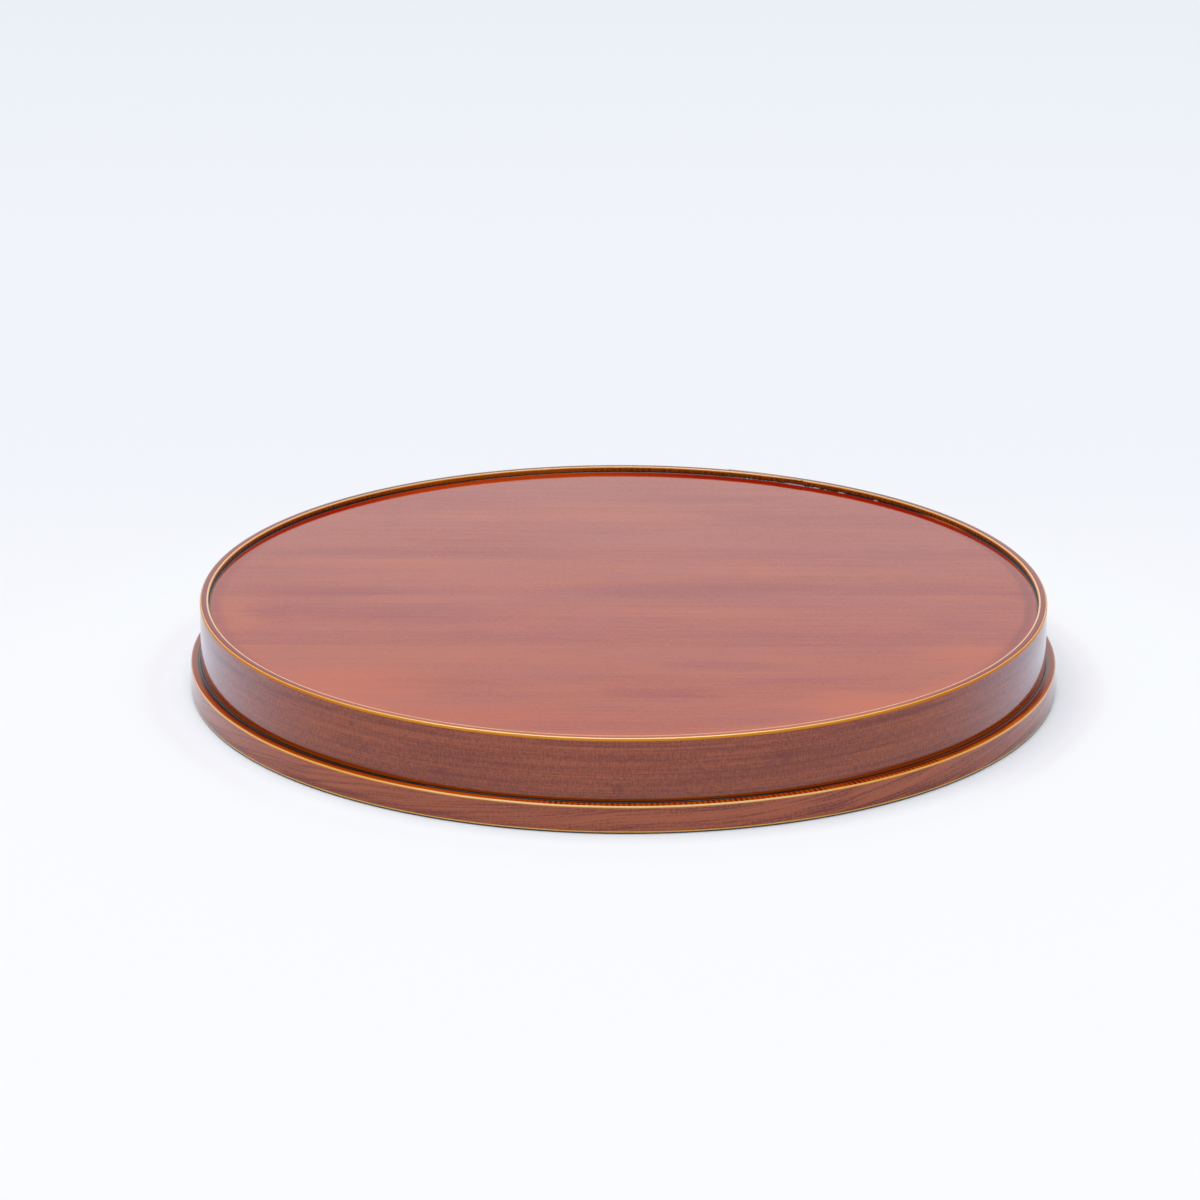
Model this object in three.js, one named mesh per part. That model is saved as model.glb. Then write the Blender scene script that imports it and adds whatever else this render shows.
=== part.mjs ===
// Round bentwood tray in millimetres, +Z up, lying rim down with its underside up.
// The origin is the centre of the base, and radii are measured from the tray's axis.
import * as THREE from "three";

// Driving sizes
const trayDiameter = 300; // over the rim band
const trayHeight = 31.5; // from the rim on the table up to the foot edge of the hoop
const bandHeight = 9.75;
const bandThickness = 3.2;
const hoopThickness = 3;
const boardThickness = 5;
const boardRecess = 2; // the board's underside lies this far below the foot edge
const glueGap = 0.3; // room for glue between a bent strip and what it holds or wraps

// Rounded edges of the strips
const footOuterEdgeRadius = 0.8;
const footInnerEdgeRadius = 0.5;
const rimInnerEdgeRadius = 0.8;
const ledgeEdgeRadius = 0.8;
const rimOuterEdgeRadius = 0.8;

// Lapped and scarfed ends of the strips
const lapLength = 30;
const lapToe = 0.4; // thickness of a scarfed end at its tip
const lapGlueGap = 0.3;
const lapEdgeRadius = 0.1; // the lapped faces keep nearly sharp edges
const hoopLapTurnShare = 0.174; // where the hoop's inner end stops, as a share of a turn from +X
const bandLapTurnShare = 0.36;

// Filler beads in the corners
const beadWidth = 0.8;
const beadHeight = 0.5;
const beadHollowShare = 0.35; // how near the bead's face comes to its corner, 0.5 being a flat face
const fieldClearance = 0.2; // the board's flat field ends this far short of the beads

// Glue lines between the board's planks, as shares of the board's radius along Y
const backSeamShare = 0.28;
const frontSeamShare = -0.36;

// How finely round shapes are divided
const turnSteps = 96;
const edgeSteps = 2;
const plankArcSteps = 24;
const edgeOfWallShare = 0.4; // a rounded edge takes no more than this share of a thin wall
const leastStepShare = 0.3; // no step along a strip's plain length is shorter than this share of one

// Sizes that follow from the ones above
const fullTurn = 2 * Math.PI;
const quarterTurn = Math.PI / 2;
const bandOuterRadius = trayDiameter / 2;
const bandInnerRadius = bandOuterRadius - bandThickness;
const hoopOuterRadius = bandInnerRadius - glueGap;
const hoopInnerRadius = hoopOuterRadius - hoopThickness;
const boardRadius = hoopInnerRadius - glueGap;
const boardUnderside = trayHeight - boardRecess;
const boardServingSide = boardUnderside - boardThickness;
const fieldRadius = boardRadius - beadWidth - fieldClearance;
const backSeam = backSeamShare * boardRadius;
const frontSeam = frontSeamShare * boardRadius;

// Lacquered wood and filler, as they look in the soft light of the photo
const boardColour = 0xbb8074;
const hoopColour = 0x8c5146;
const bandColour = 0x965a48;
const fillerColour = 0x46382f;

function lacquer(colour) {
  return new THREE.MeshStandardMaterial({ color: colour, roughness: 0.25, metalness: 0 });
}

function solid(positions, faces) {
  const geometry = new THREE.BufferGeometry();
  geometry.setAttribute("position", new THREE.Float32BufferAttribute(positions, 3));
  geometry.setIndex(faces);
  geometry.computeVertexNormals();
  return geometry;
}

// The bent strips
// A strip's edges are its rounding radii at inner bottom, outer bottom, outer top and inner top.
const sideHoop = {
  inner: hoopInnerRadius,
  outer: hoopOuterRadius,
  height: trayHeight,
  edges: [rimInnerEdgeRadius, 0, footOuterEdgeRadius, footInnerEdgeRadius],
  lapStart: hoopLapTurnShare * fullTurn,
};
const rimBand = {
  inner: bandInnerRadius,
  outer: bandOuterRadius,
  height: bandHeight,
  edges: [0, rimOuterEdgeRadius, ledgeEdgeRadius, 0],
  lapStart: bandLapTurnShare * fullTurn,
};

// The cross-section of a strip between two radii, anticlockwise, as points of radius and height
function stripSection(strip, inner, outer) {
  const points = [];
  strip.edges.forEach((edgeRadius, corner) => {
    const isOuter = corner === 1 || corner === 2;
    const isLapped = isOuter ? outer < strip.outer : inner > strip.inner;
    const steps = edgeRadius > 0 ? edgeSteps : 0;
    const wanted = isLapped ? Math.min(edgeRadius, lapEdgeRadius) : edgeRadius;
    const rounding = Math.min(wanted, (outer - inner) * edgeOfWallShare);
    const centreRadius = isOuter ? outer - rounding : inner + rounding;
    const centreHeight = corner < 2 ? rounding : strip.height - rounding;
    for (let step = 0; step <= steps; step += 1) {
      const angle = (2 + corner + step / edgeSteps) * quarterTurn;
      const across = centreRadius + rounding * Math.cos(angle);
      const up = centreHeight + rounding * Math.sin(angle);
      points.push(new THREE.Vector2(across, up));
    }
  });
  return points;
}

// The strip's thickness along its length, from the inner end's tip to the outer end's tip.
// The two ends taper past each other over the lap, so the ring keeps one thickness all round.
// Between the laps the stations lie on a grid that meets both axes, where the ring is widest.
function stripStations(strip) {
  const middle = (strip.inner + strip.outer) / 2;
  const lapAngle = lapLength / middle;
  const gapAngle = lapGlueGap / middle;
  const gridAngle = fullTurn / turnSteps;
  const lapSteps = Math.ceil(lapAngle / gridAngle);
  const plainStart = lapAngle + 2 * gapAngle;
  const plainEnd = fullTurn - 2 * gapAngle;
  const firstGrid = Math.ceil((strip.lapStart + plainStart) / gridAngle + leastStepShare);
  const lastGrid = Math.floor((strip.lapStart + plainEnd) / gridAngle - leastStepShare);
  const underTip = strip.inner + lapToe;
  const underHeel = strip.outer - lapToe - lapGlueGap;
  const stations = [];
  const add = (angle, inner, outer) => stations.push({ angle: strip.lapStart + angle, inner, outer });
  for (let step = 0; step <= lapSteps; step += 1) {
    const share = step / lapSteps;
    add(share * lapAngle, strip.inner, THREE.MathUtils.lerp(underTip, underHeel, share));
  }
  add(lapAngle + gapAngle, strip.inner, underHeel);
  add(plainStart, strip.inner, strip.outer);
  for (let grid = firstGrid; grid <= lastGrid; grid += 1) {
    add(grid * gridAngle - strip.lapStart, strip.inner, strip.outer);
  }
  add(plainEnd, strip.inner, strip.outer);
  add(fullTurn - gapAngle, underTip + lapGlueGap, strip.outer);
  for (let step = 0; step <= lapSteps; step += 1) {
    const share = step / lapSteps;
    const inner = THREE.MathUtils.lerp(underTip, underHeel, share) + lapGlueGap;
    add(fullTurn + share * lapAngle, inner, strip.outer);
  }
  return stations;
}

function bentStrip(strip) {
  const stations = stripStations(strip);
  const sections = stations.map(({ inner, outer }) => stripSection(strip, inner, outer));
  const count = sections[0].length;
  const positions = [];
  const faces = [];
  stations.forEach(({ angle }, station) => {
    for (const point of sections[station]) {
      positions.push(point.x * Math.cos(angle), point.x * Math.sin(angle), point.y);
    }
  });
  for (let station = 0; station + 1 < stations.length; station += 1) {
    for (let point = 0; point < count; point += 1) {
      const here = station * count + point;
      const beside = station * count + ((point + 1) % count);
      faces.push(here, here + count, beside + count);
      faces.push(here, beside + count, beside);
    }
  }
  const last = (stations.length - 1) * count;
  for (let point = 1; point + 1 < count; point += 1) {
    faces.push(0, point, point + 1);
    faces.push(last, last + point + 1, last + point);
  }
  return solid(positions, faces);
}

// The board's planks, cut to the round
// A plank's rim is one or two arcs that end on its glue lines, given by their end angles.
function plankArcs(place, radius) {
  const back = Math.asin(backSeam / radius);
  const front = Math.asin(frontSeam / radius);
  if (place === "back") {
    return [[back, Math.PI - back]];
  }
  if (place === "front") {
    return [[Math.PI - front, fullTurn + front]];
  }
  return [
    [front, back],
    [Math.PI - back, Math.PI - front],
  ];
}

function arcPoints(radius, [from, to]) {
  const points = [];
  for (let step = 0; step <= plankArcSteps; step += 1) {
    const angle = THREE.MathUtils.lerp(from, to, step / plankArcSteps);
    points.push(new THREE.Vector2(radius * Math.cos(angle), radius * Math.sin(angle)));
  }
  return points;
}

// Each face of a plank has a flat field that lies clear of the beads, and a margin under them.
function plank(place) {
  const rimArcs = plankArcs(place, boardRadius).map((arc) => arcPoints(boardRadius, arc));
  const fieldArcs = plankArcs(place, fieldRadius).map((arc) => arcPoints(fieldRadius, arc));
  const perArc = plankArcSteps + 1;
  const points = [...fieldArcs.flat(), ...rimArcs.flat()];
  const rimStart = fieldArcs.flat().length;
  const outline = [];
  const face = THREE.ShapeUtils.triangulateShape(fieldArcs.flat(), []);
  rimArcs.forEach((arc, index) => {
    const field = index * perArc;
    const rim = rimStart + field;
    outline.push(field);
    for (let step = 0; step < perArc; step += 1) {
      outline.push(rim + step);
    }
    outline.push(field + plankArcSteps);
    for (let step = 0; step < plankArcSteps; step += 1) {
      face.push([field + step, rim + step, rim + step + 1]);
      face.push([field + step, rim + step + 1, field + step + 1]);
    }
  });
  const positions = [];
  for (const height of [0, boardThickness]) {
    points.forEach((point) => positions.push(point.x, point.y, height));
  }
  const above = points.length;
  const faces = [];
  for (const [first, second, third] of face) {
    faces.push(first, third, second);
    faces.push(first + above, second + above, third + above);
  }
  outline.forEach((here, index) => {
    const ahead = outline[(index + 1) % outline.length];
    faces.push(here, ahead, ahead + above);
    faces.push(here, ahead + above, here + above);
  });
  return solid(positions, faces);
}

// A bead of filler in a corner between a level face and an upright one.
// Its signed width and height point from the corner into the open.
function cornerBead(cornerRadius, cornerHeight, width, height) {
  const corner = new THREE.Vector2(cornerRadius, cornerHeight);
  const toe = new THREE.Vector2(width, 0).add(corner);
  const hollow = new THREE.Vector2(width, height).multiplyScalar(beadHollowShare).add(corner);
  const top = new THREE.Vector2(0, height).add(corner);
  const profile = [corner, toe, hollow, top];
  if (width * height < 0) {
    profile.reverse();
  }
  profile.push(profile[0].clone());
  return new THREE.LatheGeometry(profile, turnSteps).rotateX(quarterTurn);
}

function subpart(name, geometry, colour) {
  const mesh = new THREE.Mesh(geometry, lacquer(colour));
  mesh.name = name;
  return mesh;
}

// The assembly
const tray = new THREE.Group();
tray.add(subpart("side_hoop", bentStrip(sideHoop), hoopColour));
tray.add(subpart("rim_band", bentStrip(rimBand), bandColour));

const board = new THREE.Group();
board.position.z = boardServingSide;
for (const place of ["back", "middle", "front"]) {
  board.add(subpart(`board_plank_${place}`, plank(place), boardColour));
}
tray.add(board);

const undersideBead = cornerBead(boardRadius, boardUnderside, -beadWidth, beadHeight);
const ledgeBead = cornerBead(bandInnerRadius, bandHeight, beadWidth, beadHeight);
const innerBead = cornerBead(boardRadius, boardServingSide, -beadWidth, -beadHeight);
tray.add(subpart("underside_corner_filler", undersideBead, fillerColour));
tray.add(subpart("ledge_corner_filler", ledgeBead, fillerColour));
tray.add(subpart("inner_corner_filler", innerBead, fillerColour));

export default tray;
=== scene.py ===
"""Looks of the round bentwood tray, built round its CAD frame, in metres.

The tray lies rim down, as in the photograph. Its two bent strips and its corner beads are modelled
here as fine meshes, and the three planks of the board keep their CAD shape and get their finish.
"""

import bpy
import math
from collections import namedtuple
from mathutils import Matrix, Vector, noise


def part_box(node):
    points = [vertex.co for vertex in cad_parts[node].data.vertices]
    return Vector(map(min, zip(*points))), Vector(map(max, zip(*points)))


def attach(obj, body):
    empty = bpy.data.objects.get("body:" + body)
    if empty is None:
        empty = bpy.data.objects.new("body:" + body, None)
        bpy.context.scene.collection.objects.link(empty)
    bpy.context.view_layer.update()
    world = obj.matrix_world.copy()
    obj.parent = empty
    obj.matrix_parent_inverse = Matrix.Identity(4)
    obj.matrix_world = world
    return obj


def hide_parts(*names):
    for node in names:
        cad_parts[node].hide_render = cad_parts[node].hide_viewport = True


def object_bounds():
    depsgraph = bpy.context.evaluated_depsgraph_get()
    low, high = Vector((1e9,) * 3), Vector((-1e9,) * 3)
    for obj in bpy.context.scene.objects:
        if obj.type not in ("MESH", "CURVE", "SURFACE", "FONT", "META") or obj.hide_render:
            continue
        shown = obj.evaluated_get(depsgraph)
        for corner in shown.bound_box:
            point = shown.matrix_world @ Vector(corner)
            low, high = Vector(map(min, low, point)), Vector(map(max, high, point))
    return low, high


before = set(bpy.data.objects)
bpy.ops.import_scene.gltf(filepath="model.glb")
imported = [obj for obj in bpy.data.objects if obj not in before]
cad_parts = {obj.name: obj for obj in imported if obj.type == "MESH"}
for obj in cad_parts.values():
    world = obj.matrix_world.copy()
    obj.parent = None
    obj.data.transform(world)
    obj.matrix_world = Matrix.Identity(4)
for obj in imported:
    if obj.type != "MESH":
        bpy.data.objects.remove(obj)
cad_low, cad_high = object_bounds()

# Sizes from the frame
HOOP_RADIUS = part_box("side_hoop")[1].x
BAND_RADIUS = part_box("rim_band")[1].x
TRAY_HEIGHT = cad_high.z
BAND_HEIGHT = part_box("rim_band")[1].z
BOARD_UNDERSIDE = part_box("board_plank_middle")[1].z
BOARD_SERVING_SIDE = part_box("board_plank_middle")[0].z

# Sizes that the boxes don't tell
HOOP_WALL = 0.003
EDGE_RADIUS = 0.0008
FINE_EDGE_RADIUS = 0.0005
HIDDEN_EDGE_RADIUS = 0.00008
LAP_LENGTH = 0.03
LAP_TOE = 0.0004
LAP_LINE = 0.00008
HOOP_LAP_TURN = 0.174
BAND_LAP_TURN = 0.36
EDGE_OF_WALL_SHARE = 0.4
BEAD_WIDTH = 0.0008
BEAD_HEIGHT = 0.0003
BEAD_CROWN = 1.8

# The unevenness of the beads: shares of their size, and waves per radius of their width and rise
SLOW_SHARE = 0.12
FAST_SHARE = 0.08
WIDTH_WAVES = (9, 60)
RISE_WAVES = (15, 90)

# How finely the round shapes are divided
TURN_STEPS = 480
EDGE_STEPS = 8
WALL_STEP = 0.0016
BEAD_TURN_STEPS = 1440
BEAD_PARTS = 6

HOOP_INNER = HOOP_RADIUS - HOOP_WALL
FULL_TURN = 2 * math.pi
QUARTER_TURN = math.pi / 2


# Mesh building
def add_mesh(name, points, faces, uvs):
    """A smooth mesh object whose uvs, one list per face, lie in the layer named strip."""
    mesh = bpy.data.meshes.new(name)
    mesh.from_pydata(points, [], faces)
    layer = mesh.uv_layers.new(name="strip")
    for loop, uv in zip(layer.data, (uv for face in uvs for uv in face)):
        loop.uv = uv
    mesh.shade_smooth()
    mesh.update()
    piece = bpy.data.objects.new(name, mesh)
    bpy.context.scene.collection.objects.link(piece)
    return piece


def sweep(name, rings, angles, lengths, closed):
    """Joins rings of (radius, height) points, one at each angle, into a solid.

    lengths holds each point's distance along the section, which becomes the v of the uv layer, with
    the distance along the turn as u."""
    count = len(rings[0])
    points = []
    for ring, angle in zip(rings, angles):
        for across, up in ring:
            points.append((across * math.cos(angle), across * math.sin(angle), up))
    faces = []
    uvs = []
    middle = sum(across for across, up in rings[0]) / count
    ring_total = len(rings)
    for station in range(ring_total if closed else ring_total - 1):
        ahead = (station + 1) % ring_total
        start_u = angles[station] * middle
        end_u = (angles[ahead] + (FULL_TURN if ahead == 0 else 0)) * middle
        for point in range(count):
            beside = (point + 1) % count
            faces.append((
                station * count + point,
                ahead * count + point,
                ahead * count + beside,
                station * count + beside,
            ))
            low_v, high_v = lengths[point], lengths[point + 1]
            uvs.append([(start_u, low_v), (end_u, low_v), (end_u, high_v), (start_u, high_v)])
    if not closed:
        last = (ring_total - 1) * count
        for cap in (list(range(count)), list(range(last + count - 1, last - 1, -1))):
            faces.append(tuple(cap))
            uvs.append([(angles[0] * middle, lengths[0])] * count)
    return add_mesh(name, points, faces, uvs)


# The two bent strips
class Strip:
    """A strip bent to a ring: its radii, height and edge radii, and where its lap begins."""

    def __init__(self, inner, outer, height, edges, lap_turn):
        self.inner = inner
        self.outer = outer
        self.height = height
        self.edges = edges
        self.lap_start = lap_turn * FULL_TURN

    def section(self, inner, outer):
        """The section's outline between two radii, anticlockwise from the inner bottom edge."""
        corners = []
        for corner, radius in enumerate(self.edges):
            is_outer = corner in (1, 2)
            is_lapped = outer < self.outer if is_outer else inner > self.inner
            wanted = min(radius, HIDDEN_EDGE_RADIUS) if is_lapped else radius
            rounding = min(wanted, (outer - inner) * EDGE_OF_WALL_SHARE)
            centre_r = outer - rounding if is_outer else inner + rounding
            centre_z = rounding if corner < 2 else self.height - rounding
            arc = []
            for step in range(EDGE_STEPS + 1):
                angle = (2 + corner + step / EDGE_STEPS) * QUARTER_TURN
                across = centre_r + rounding * math.cos(angle)
                up = centre_z + rounding * math.sin(angle)
                arc.append((across, up))
            corners.append(arc)
        outline = []
        for corner, arc in enumerate(corners):
            outline.extend(arc)
            start, end = arc[-1], corners[(corner + 1) % 4][0]
            span = self.height if corner in (1, 3) else self.outer - self.inner
            steps = max(2, round(span / WALL_STEP))
            for step in range(1, steps):
                share = step / steps
                across = start[0] + (end[0] - start[0]) * share
                up = start[1] + (end[1] - start[1]) * share
                outline.append((across, up))
        return outline

    def lengths(self):
        """Distance along the full section at each point of its outline, and back at the first."""
        outline = self.section(self.inner, self.outer)
        outline.append(outline[0])
        found = [0.0]
        for here, ahead in zip(outline, outline[1:]):
            found.append(found[-1] + math.dist(here, ahead))
        return found

    def corner_lengths(self):
        """Distance along the section to the middle of each of its four edges."""
        lengths = self.lengths()
        outline = self.section(self.inner, self.outer)
        found = []
        for corner in range(4):
            aim_r = self.outer if corner in (1, 2) else self.inner
            aim_z = 0.0 if corner < 2 else self.height
            nearest = min(range(len(outline)), key=lambda i: math.dist(outline[i], (aim_r, aim_z)))
            found.append(lengths[nearest])
        return found

    def stations(self):
        """(angle, inner radius, outer radius) from the inner end's tip to the outer end's tip."""
        middle = (self.inner + self.outer) / 2
        lap_angle = LAP_LENGTH / middle
        line_angle = LAP_LINE / middle
        lap_steps = math.ceil(TURN_STEPS * lap_angle / FULL_TURN)
        plain_steps = TURN_STEPS - lap_steps
        plain_start = lap_angle + 2 * line_angle
        plain_end = FULL_TURN - 2 * line_angle
        tip = self.inner + LAP_TOE
        heel = self.outer - LAP_TOE - LAP_LINE
        found = []
        for step in range(lap_steps + 1):
            share = step / lap_steps
            found.append((share * lap_angle, self.inner, tip + (heel - tip) * share))
        found.append((lap_angle + line_angle, self.inner, heel))
        for step in range(plain_steps + 1):
            angle = plain_start + (plain_end - plain_start) * step / plain_steps
            found.append((angle, self.inner, self.outer))
        found.append((FULL_TURN - line_angle, tip + LAP_LINE, self.outer))
        for step in range(lap_steps + 1):
            share = step / lap_steps
            inner = tip + (heel - tip) * share + LAP_LINE
            found.append((FULL_TURN + share * lap_angle, inner, self.outer))
        return [(self.lap_start + angle, inner, outer) for angle, inner, outer in found]


def bent_strip(name, strip):
    """The strip's mesh, from one scarfed end round to the other."""
    stations = strip.stations()
    rings = [strip.section(inner, outer) for angle, inner, outer in stations]
    angles = [angle for angle, inner, outer in stations]
    return sweep(name, rings, angles, strip.lengths(), closed=False)


# The beads in the corners
def unevenness(where, waves):
    """A factor near one that changes slowly and quickly from place to place."""
    slow, fast = waves
    return 1 + SLOW_SHARE * noise.noise(where * slow) + FAST_SHARE * noise.noise(where * fast)


def corner_bead(name, radius, height, across_sign, up_sign, seed):
    """A bead of filler from its corner into the open, low at the wall and steeper at its toe.

    The v of its uvs runs from zero at the wall to one at the toe."""
    shares = [part / BEAD_PARTS for part in range(BEAD_PARTS + 1)]
    rings = []
    angles = []
    for step in range(BEAD_TURN_STEPS):
        angle = step / BEAD_TURN_STEPS * FULL_TURN
        where = Vector((math.cos(angle), math.sin(angle), seed))
        width = BEAD_WIDTH * unevenness(where, WIDTH_WAVES)
        rise = BEAD_HEIGHT * unevenness(where, RISE_WAVES)
        ring = [(radius, height)]
        for share in shares:
            climb = rise * (1 - share ** BEAD_CROWN)
            ring.append((radius + across_sign * width * share, height + up_sign * climb))
        if across_sign * up_sign > 0:
            ring.reverse()
        rings.append(ring)
        angles.append(angle)
    lengths = [0.0] + shares
    if across_sign * up_sign > 0:
        lengths.reverse()
    return sweep(name, rings, angles, lengths + lengths[:1], closed=True)


# Node trees
MIDDLE = 0.5
MARK_CORE = 0.15
MARK_END = 1.25
GRAIN_ROUGHNESS = 0.55
COARSE_DETAIL = 1.0
SEED_SHIFT = (3.1, 7.7)
LAYER_SHIFT = (11.3, 5.9)


class Graph:
    """A node tree, with short calls to add and join nodes."""

    def __init__(self, tree):
        self.nodes = tree.nodes
        self.links = tree.links

    def put(self, socket, value):
        """Links a socket to another one, or sets its value."""
        if isinstance(value, bpy.types.NodeSocket):
            self.links.new(value, socket)
        else:
            socket.default_value = value

    def add(self, kind, settings=None, **inputs):
        """A new node. An input's name has _ in place of its spaces."""
        node = self.nodes.new(kind)
        for key, value in (settings or {}).items():
            setattr(node, key, value)
        for key, value in inputs.items():
            self.put(node.inputs[key.replace("_", " ")], value)
        return node

    def math(self, operation, first, second=0.0):
        node = self.nodes.new("ShaderNodeMath")
        node.operation = operation
        self.put(node.inputs[0], first)
        self.put(node.inputs[1], second)
        return node.outputs[0]

    def times(self, first, *others):
        for other in others:
            first = self.math("MULTIPLY", first, other)
        return first

    def total(self, first, *others):
        for other in others:
            first = self.math("ADD", first, other)
        return first

    def rest(self, share):
        return self.math("SUBTRACT", 1.0, share)

    def vector(self, operation, first, second=None):
        node = self.add("ShaderNodeVectorMath", {"operation": operation})
        self.put(node.inputs[0], first)
        if second is not None:
            self.put(node.inputs[1], second)
        return node.outputs["Value" if operation == "LENGTH" else "Vector"]

    def place(self, kind="Object"):
        return self.add("ShaderNodeTexCoord").outputs[kind]

    def split(self, vector):
        """The outputs X, Y and Z of a vector."""
        return self.add("ShaderNodeSeparateXYZ", Vector=vector).outputs

    def scaled(self, vector, scale, offset=(0.0, 0.0, 0.0)):
        node = self.add("ShaderNodeMapping", Vector=vector, Scale=scale, Location=offset)
        return node.outputs[0]

    def noise(self, place, waves, detail=2.0, offset=(0.0, 0.0, 0.0), roughness=0.5):
        """Noise of so many waves per metre along each axis, from zero to one."""
        vector = self.scaled(place, waves, offset)
        settings = {"Vector": vector, "Scale": 1.0, "Detail": detail, "Roughness": roughness}
        return self.add("ShaderNodeTexNoise", **settings).outputs[0]

    def wander(self, reach, *noise_settings):
        """Noise about zero, up to about half the reach either way."""
        return self.times(self.math("SUBTRACT", self.noise(*noise_settings), MIDDLE), reach)

    def ramp(self, value, from_low, from_high, to_low=0.0, to_high=1.0):
        """A smooth change from one number to another between two limits of a value."""
        node = self.add(
            "ShaderNodeMapRange", {"interpolation_type": "SMOOTHSTEP"}, Value=value,
            From_Min=from_low, From_Max=from_high, To_Min=to_low, To_Max=to_high,
        )
        return node.outputs[0]

    def zone(self, value, low, high, soft):
        """One between two limits and zero outside them."""
        rising = self.ramp(value, low - soft, low + soft)
        return self.times(rising, self.ramp(value, high - soft, high + soft, 1.0, 0.0))

    def mix(self, share, first, second):
        """A colour between two others."""
        node = self.add("ShaderNodeMix", {"data_type": "RGBA"})
        self.put(node.inputs[0], share)
        self.put(node.inputs[6], first)
        self.put(node.inputs[7], second)
        return node.outputs[2]

    def bump(self, height, distance, strength):
        node = self.add("ShaderNodeBump", Height=height, Distance=distance, Strength=strength)
        return node.outputs[0]

    def grain(self, place, seed, layers):
        """A tone about zero: several noises, each with its waves per metre along and across the
        grain, its detail and its weight. The shifts keep seeds and layers apart."""
        parts = []
        for index, (along, across, detail, weight) in enumerate(layers):
            shift = (
                seed * SEED_SHIFT[0] + index * LAYER_SHIFT[0],
                seed * SEED_SHIFT[1] + index * LAYER_SHIFT[1],
                seed,
            )
            waves = (along, across, 1.0)
            parts.append(self.wander(weight, place, waves, detail, shift, GRAIN_ROUGHNESS))
        return self.total(*parts)

    def warped(self, place, scale, reach, seed):
        """Places pushed to and fro by up to about half the reach."""
        vector = self.scaled(place, scale, (seed, -seed, 0.0))
        push = self.add("ShaderNodeTexNoise", Vector=vector, Scale=1.0, Detail=2.0).outputs["Color"]
        centred = self.vector("SUBTRACT", push, (MIDDLE, MIDDLE, MIDDLE))
        return self.vector("ADD", place, self.vector("MULTIPLY", centred, reach))

    def mark(self, place, centre, half, weight):
        """A soft oval mark in the tone."""
        scale = (1 / half[0], 1 / half[1], 0.0)
        offset = (-centre[0] / half[0], -centre[1] / half[1], 0.0)
        # The distance from the centre, which is one at the oval's outline
        away = self.vector("LENGTH", self.scaled(place, scale, offset))
        return self.ramp(away, MARK_CORE, MARK_END, weight, 0.0)


class Surface(Graph):
    """A new material, whose node tree ends in its Principled shader."""

    def __init__(self, name):
        self.material = bpy.data.materials.new(name)
        self.material.use_nodes = True
        super().__init__(self.material.node_tree)
        self.shader = self.nodes["Principled BSDF"]

    def finish(self, colour, roughness, **inputs):
        self.put(self.shader.inputs["Base Color"], colour)
        self.put(self.shader.inputs["Roughness"], roughness)
        for key, value in inputs.items():
            self.put(self.shader.inputs[key.replace("_", " ")], value)
        return self.material


def rgb(red, green, blue):
    """A linear colour with full alpha."""
    return (red, green, blue, 1.0)


# Colours and gloss
LACQUER_ROUGHNESS = 0.08
LACQUER_IOR = 1.6
BOARD_DARK = rgb(0.31, 0.008, 0.001)
BOARD_LIGHT = rgb(0.472, 0.072, 0.01)
BOARD_VEIL = rgb(0.34, 0.06, 0.065)
BOARD_ORANGE = rgb(0.6, 0.09, 0.001)
# Painted reflection of the hoop's inner wall on the board, beside the bead at the back
WALL_REFLECTION_RED = rgb(0.335, 0.0045, 0.0002)
WALL_REFLECTION_ORANGE = rgb(0.47, 0.036, 0.0004)
# A darker ring near the rim at both sides of the board
RIM_DARK_RING = rgb(0.24, 0.012, 0.004)
STRIP_DARK = rgb(0.2, 0.018, 0.004)
STRIP_LIGHT = rgb(0.44, 0.09, 0.025)
INNER_WALL = rgb(0.42, 0.1, 0.001)
INNER_WALL_DARK = rgb(0.2, 0.035, 0.0005)
INNER_WALL_LIGHT = rgb(0.66, 0.18, 0.002)
WALL_FOOT = rgb(0.44, 0.075, 0.0005)
# Painted shade at the foot of the hoop's bare wall, above the ledge
WALL_FOOT_SHADE = rgb(0.3, 0.04, 0.0005)
FLAT_TOP = rgb(0.25, 0.014, 0.005)
FLAT_TOP_FRONT = rgb(0.5, 0.08, 0.02)
FLAT_TOP_BACK = rgb(0.1, 0.003, 0.001)
# Colours of the light worn edges; the cream, inner, bright and back ones carry painted highlights
EDGE_CREAM_HIGHLIGHT = rgb(1.0, 0.7, 0.26)
EDGE_INNER_HIGHLIGHT = rgb(1.0, 0.62, 0.36)
EDGE_AMBER = rgb(0.72, 0.27, 0.02)
EDGE_BRIGHT_HIGHLIGHT = rgb(1.0, 0.48, 0.07)
EDGE_BROWN = rgb(0.64, 0.2, 0.006)
EDGE_GOLD = rgb(0.75, 0.27, 0.01)
EDGE_DEEP = rgb(1.0, 0.54, 0.12)
EDGE_BACK_HIGHLIGHT = rgb(1.0, 0.5, 0.12)
LEDGE_ORANGE = rgb(0.6, 0.085, 0.001)
LEDGE_RED = rgb(0.16, 0.008, 0.0004)
LEDGE_GOLD = rgb(0.6, 0.125, 0.001)
LEDGE_RUST = rgb(0.42, 0.065, 0.001)
# Painted shade on the ledge towards the wall
LEDGE_SHADED = rgb(0.22, 0.02, 0.001)
LEDGE_BROWN = rgb(0.32, 0.045, 0.012)
# Painted contact shadow where the band stands on the floor
CONTACT_SHADOW = rgb(0.03, 0.015, 0.009)
FILLER_DARK = rgb(0.004, 0.006, 0.01)
FILLER_BROWN = rgb(0.014, 0.011, 0.012)
FILLER_TOE = rgb(0.52, 0.1, 0.03)
FILLER_SMEAR = rgb(0.006, 0.008, 0.012)
# Painted glints of the bubbles in the filler
BUBBLE_GLINT = rgb(0.34, 0.31, 0.33)

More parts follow.
